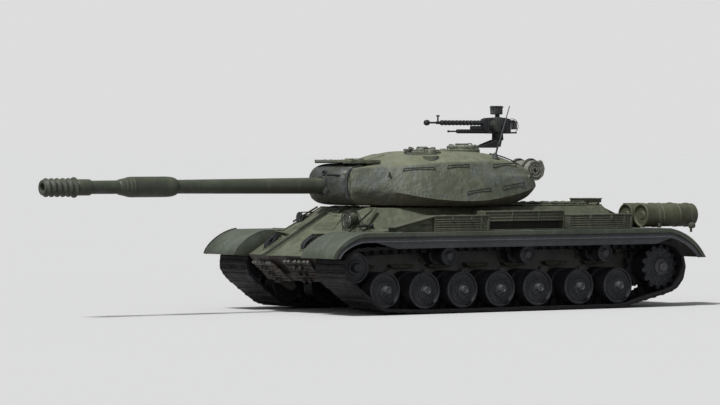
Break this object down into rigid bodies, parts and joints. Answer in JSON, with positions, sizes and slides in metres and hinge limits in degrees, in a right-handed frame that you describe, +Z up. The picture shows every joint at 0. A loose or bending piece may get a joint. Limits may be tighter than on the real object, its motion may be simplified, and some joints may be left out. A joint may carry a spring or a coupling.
{
  "type": "radio-controlled tank",
  "caption": "Radio-controlled heavy tank model: tracked hull with pike bow, turning turret, elevating long gun, fuel drums and a roof machine gun.",
  "frame": {"origin": "on the ground, midway along the model from muzzle to rear mudguard, on its centre plane", "axes": "+X forwards, towards the muzzle; +Y to the vehicle's left; +Z up"},
  "size_m": [0.64, 0.2038, 0.183],
  "materials": {
    "painted_shell": "matt olive-green paint, weathered",
    "painted_fender": "matt olive-green paint, dusty",
    "painted_box": "matt olive-green paint",
    "painted_drum": "matt olive-green paint",
    "track_plastic": "dark steel colour, dusty",
    "wheel_plastic": "matt blue-black",
    "barrel_aluminium": "painted matt olive-green",
    "gun_plastic": "dark gunmetal colour",
    "canvas": "rolled cotton canvas",
    "lamp_plastic": "painted shell",
    "battery_wrap": "shrink wrap",
    "circuit_board": "solder mask",
    "moulded_black": "bare moulding"
  },
  "bodies": {
    "hull": {"lower_hull": "painted_shell", "upper_hull": "painted_shell", "engine_deck": "painted_shell", "fender_left": "painted_fender", "fender_right": "painted_fender", "track_left": "track_plastic", "track_right": "track_plastic", "stowage_box_front_left": "painted_box", "stowage_box_front_right": "painted_box", "stowage_box_rear_left": "painted_box", "stowage_box_rear_right": "painted_box", "air_intake_left": "painted_box", "air_intake_right": "painted_box", "fuel_drum_left_outer": "painted_drum", "fuel_drum_left_inner": "painted_drum", "fuel_drum_right_outer": "painted_drum", "fuel_drum_right_inner": "painted_drum", "headlight": "lamp_plastic", "signal_horn": "lamp_plastic", "spare_track_links": "track_plastic", "battery_pack": "battery_wrap", "drive_gearbox": "moulded_black", "control_board": "circuit_board"},
    "turret": {"turret_shell": "painted_shell", "aerial": "gun_plastic", "tarpaulin_roll": "canvas"},
    "mantlet": {"mantlet": "painted_shell"},
    "gun": {"gun_barrel": "barrel_aluminium"},
    "commander_hatch": {"commander_hatch": "painted_shell"},
    "aa_mount": {"aa_ring": "painted_shell"},
    "loader_hatch": {"loader_hatch": "painted_shell"},
    "machine_gun": {"machine_gun": "gun_plastic"},
    "driver_hatch": {"driver_hatch": "painted_shell"},
    "battery_cover": {"battery_cover": "moulded_black"},
    "power_switch": {"power_switch": "moulded_black"},
    "drive_sprocket_left": {"drive_sprocket_left": "wheel_plastic"},
    "road_wheel_left_1": {"road_wheel_left_1": "wheel_plastic"},
    "road_wheel_left_2": {"road_wheel_left_2": "wheel_plastic"},
    "road_wheel_left_3": {"road_wheel_left_3": "wheel_plastic"},
    "road_wheel_left_4": {"road_wheel_left_4": "wheel_plastic"},
    "road_wheel_left_5": {"road_wheel_left_5": "wheel_plastic"},
    "road_wheel_left_6": {"road_wheel_left_6": "wheel_plastic"},
    "road_wheel_left_7": {"road_wheel_left_7": "wheel_plastic"},
    "return_roller_left_1": {"return_roller_left_1": "wheel_plastic"},
    "return_roller_left_2": {"return_roller_left_2": "wheel_plastic"},
    "return_roller_left_3": {"return_roller_left_3": "wheel_plastic"},
    "idler_left": {"idler_left": "wheel_plastic"},
    "drive_sprocket_right": {"drive_sprocket_right": "wheel_plastic"},
    "road_wheel_right_1": {"road_wheel_right_1": "wheel_plastic"},
    "road_wheel_right_2": {"road_wheel_right_2": "wheel_plastic"},
    "road_wheel_right_3": {"road_wheel_right_3": "wheel_plastic"},
    "road_wheel_right_4": {"road_wheel_right_4": "wheel_plastic"},
    "road_wheel_right_5": {"road_wheel_right_5": "wheel_plastic"},
    "road_wheel_right_6": {"road_wheel_right_6": "wheel_plastic"},
    "road_wheel_right_7": {"road_wheel_right_7": "wheel_plastic"},
    "return_roller_right_1": {"return_roller_right_1": "wheel_plastic"},
    "return_roller_right_2": {"return_roller_right_2": "wheel_plastic"},
    "return_roller_right_3": {"return_roller_right_3": "wheel_plastic"},
    "idler_right": {"idler_right": "wheel_plastic"}
  },
  "joints": [
    {"name": "turret_yaw", "type": "hinge", "parent": "hull", "child": "turret", "pos_m": [-0.076, 0, 0.0922], "axis": [0, 0, 1], "continuous": true},
    {"name": "gun_elevation", "type": "hinge", "parent": "turret", "child": "mantlet", "pos_m": [0.0113, 0, 0.111], "axis": [0, -1, 0], "range_deg": [-4, 12]},
    {"name": "barrel_recoil", "type": "slide", "parent": "mantlet", "child": "gun", "axis": [1, 0, 0], "range_m": [-0.01, 0], "stiffness_N_per_m": 300},
    {"name": "commander_hatch_hinge", "type": "hinge", "parent": "turret", "child": "commander_hatch", "pos_m": [-0.0392, 0.025, 0.14235], "axis": [0, 1, 0], "range_deg": [0, 100]},
    {"name": "aa_mount_yaw", "type": "hinge", "parent": "turret", "child": "aa_mount", "pos_m": [-0.135, -0.022, 0.1434], "axis": [0, 0, 1], "continuous": true},
    {"name": "loader_hatch_swing", "type": "hinge", "parent": "aa_mount", "child": "loader_hatch", "pos_m": [-0.1217, -0.022, 0.1467], "axis": [0, 0, 1], "range_deg": [0, 110]},
    {"name": "machine_gun_elevation", "type": "hinge", "parent": "aa_mount", "child": "machine_gun", "pos_m": [-0.1746, -0.022, 0.16], "axis": [0, -1, 0], "range_deg": [-5, 25]},
    {"name": "driver_hatch_swing", "type": "hinge", "parent": "hull", "child": "driver_hatch", "pos_m": [0.009, -0.017, 0.0919], "axis": [0, 0, -1], "range_deg": [0, 80]},
    {"name": "battery_cover_slide", "type": "slide", "parent": "hull", "child": "battery_cover", "axis": [-1, 0, 0], "range_m": [0, 0.064]},
    {"name": "power_switch_slide", "type": "slide", "parent": "hull", "child": "power_switch", "axis": [1, 0, 0], "range_m": [0, 0.0045]},
    {"name": "drive_left", "type": "hinge", "parent": "hull", "child": "drive_sprocket_left", "pos_m": [-0.2752, 0.076, 0.0362], "axis": [0, 1, 0], "continuous": true},
    {"name": "road_wheel_left_1_spin", "type": "hinge", "parent": "hull", "child": "road_wheel_left_1", "pos_m": [0.0328, 0.076, 0.0216], "axis": [0, 1, 0], "continuous": true},
    {"name": "road_wheel_left_2_spin", "type": "hinge", "parent": "hull", "child": "road_wheel_left_2", "pos_m": [-0.0093, 0.076, 0.0204], "axis": [0, 1, 0], "continuous": true},
    {"name": "road_wheel_left_3_spin", "type": "hinge", "parent": "hull", "child": "road_wheel_left_3", "pos_m": [-0.0501, 0.076, 0.0204], "axis": [0, 1, 0], "continuous": true},
    {"name": "road_wheel_left_4_spin", "type": "hinge", "parent": "hull", "child": "road_wheel_left_4", "pos_m": [-0.0913, 0.076, 0.0204], "axis": [0, 1, 0], "continuous": true},
    {"name": "road_wheel_left_5_spin", "type": "hinge", "parent": "hull", "child": "road_wheel_left_5", "pos_m": [-0.1332, 0.076, 0.0204], "axis": [0, 1, 0], "continuous": true},
    {"name": "road_wheel_left_6_spin", "type": "hinge", "parent": "hull", "child": "road_wheel_left_6", "pos_m": [-0.1798, 0.076, 0.0204], "axis": [0, 1, 0], "continuous": true},
    {"name": "road_wheel_left_7_spin", "type": "hinge", "parent": "hull", "child": "road_wheel_left_7", "pos_m": [-0.2243, 0.076, 0.0204], "axis": [0, 1, 0], "continuous": true},
    {"name": "return_roller_left_1_spin", "type": "hinge", "parent": "hull", "child": "return_roller_left_1", "pos_m": [-0.0379, 0.076, 0.05], "axis": [0, 1, 0], "continuous": true},
    {"name": "return_roller_left_2_spin", "type": "hinge", "parent": "hull", "child": "return_roller_left_2", "pos_m": [-0.1243, 0.076, 0.05], "axis": [0, 1, 0], "continuous": true},
    {"name": "return_roller_left_3_spin", "type": "hinge", "parent": "hull", "child": "return_roller_left_3", "pos_m": [-0.2121, 0.076, 0.05], "axis": [0, 1, 0], "continuous": true},
    {"name": "idler_left_spin", "type": "hinge", "parent": "hull", "child": "idler_left", "pos_m": [0.0636, 0.076, 0.0416], "axis": [0, 1, 0], "continuous": true},
    {"name": "drive_right", "type": "hinge", "parent": "hull", "child": "drive_sprocket_right", "pos_m": [-0.2752, -0.076, 0.0362], "axis": [0, 1, 0], "continuous": true},
    {"name": "road_wheel_right_1_spin", "type": "hinge", "parent": "hull", "child": "road_wheel_right_1", "pos_m": [0.0328, -0.076, 0.0216], "axis": [0, 1, 0], "continuous": true},
    {"name": "road_wheel_right_2_spin", "type": "hinge", "parent": "hull", "child": "road_wheel_right_2", "pos_m": [-0.0093, -0.076, 0.0204], "axis": [0, 1, 0], "continuous": true},
    {"name": "road_wheel_right_3_spin", "type": "hinge", "parent": "hull", "child": "road_wheel_right_3", "pos_m": [-0.0501, -0.076, 0.0204], "axis": [0, 1, 0], "continuous": true},
    {"name": "road_wheel_right_4_spin", "type": "hinge", "parent": "hull", "child": "road_wheel_right_4", "pos_m": [-0.0913, -0.076, 0.0204], "axis": [0, 1, 0], "continuous": true},
    {"name": "road_wheel_right_5_spin", "type": "hinge", "parent": "hull", "child": "road_wheel_right_5", "pos_m": [-0.1332, -0.076, 0.0204], "axis": [0, 1, 0], "continuous": true},
    {"name": "road_wheel_right_6_spin", "type": "hinge", "parent": "hull", "child": "road_wheel_right_6", "pos_m": [-0.1798, -0.076, 0.0204], "axis": [0, 1, 0], "continuous": true},
    {"name": "road_wheel_right_7_spin", "type": "hinge", "parent": "hull", "child": "road_wheel_right_7", "pos_m": [-0.2243, -0.076, 0.0204], "axis": [0, 1, 0], "continuous": true},
    {"name": "return_roller_right_1_spin", "type": "hinge", "parent": "hull", "child": "return_roller_right_1", "pos_m": [-0.0379, -0.076, 0.05], "axis": [0, 1, 0], "continuous": true},
    {"name": "return_roller_right_2_spin", "type": "hinge", "parent": "hull", "child": "return_roller_right_2", "pos_m": [-0.1243, -0.076, 0.05], "axis": [0, 1, 0], "continuous": true},
    {"name": "return_roller_right_3_spin", "type": "hinge", "parent": "hull", "child": "return_roller_right_3", "pos_m": [-0.2121, -0.076, 0.05], "axis": [0, 1, 0], "continuous": true},
    {"name": "idler_right_spin", "type": "hinge", "parent": "hull", "child": "idler_right", "pos_m": [0.0636, -0.076, 0.0416], "axis": [0, 1, 0], "continuous": true}
  ],
  "couplings": [
    {"joint": "road_wheel_left_1_spin", "follows": "drive_left", "ratio": 1.3205},
    {"joint": "road_wheel_left_2_spin", "follows": "drive_left", "ratio": 1.2716},
    {"joint": "road_wheel_left_3_spin", "follows": "drive_left", "ratio": 1.2716},
    {"joint": "road_wheel_left_4_spin", "follows": "drive_left", "ratio": 1.2716},
    {"joint": "road_wheel_left_5_spin", "follows": "drive_left", "ratio": 1.2716},
    {"joint": "road_wheel_left_6_spin", "follows": "drive_left", "ratio": 1.2716},
    {"joint": "road_wheel_left_7_spin", "follows": "drive_left", "ratio": 1.2716},
    {"joint": "return_roller_left_1_spin", "follows": "drive_left", "ratio": 2.4524},
    {"joint": "return_roller_left_2_spin", "follows": "drive_left", "ratio": 2.4524},
    {"joint": "return_roller_left_3_spin", "follows": "drive_left", "ratio": 2.4524},
    {"joint": "idler_left_spin", "follows": "drive_left", "ratio": 1.5147},
    {"joint": "road_wheel_right_1_spin", "follows": "drive_right", "ratio": 1.3205},
    {"joint": "road_wheel_right_2_spin", "follows": "drive_right", "ratio": 1.2716},
    {"joint": "road_wheel_right_3_spin", "follows": "drive_right", "ratio": 1.2716},
    {"joint": "road_wheel_right_4_spin", "follows": "drive_right", "ratio": 1.2716},
    {"joint": "road_wheel_right_5_spin", "follows": "drive_right", "ratio": 1.2716},
    {"joint": "road_wheel_right_6_spin", "follows": "drive_right", "ratio": 1.2716},
    {"joint": "road_wheel_right_7_spin", "follows": "drive_right", "ratio": 1.2716},
    {"joint": "return_roller_right_1_spin", "follows": "drive_right", "ratio": 2.4524},
    {"joint": "return_roller_right_2_spin", "follows": "drive_right", "ratio": 2.4524},
    {"joint": "return_roller_right_3_spin", "follows": "drive_right", "ratio": 2.4524},
    {"joint": "idler_right_spin", "follows": "drive_right", "ratio": 1.5147}
  ]
}
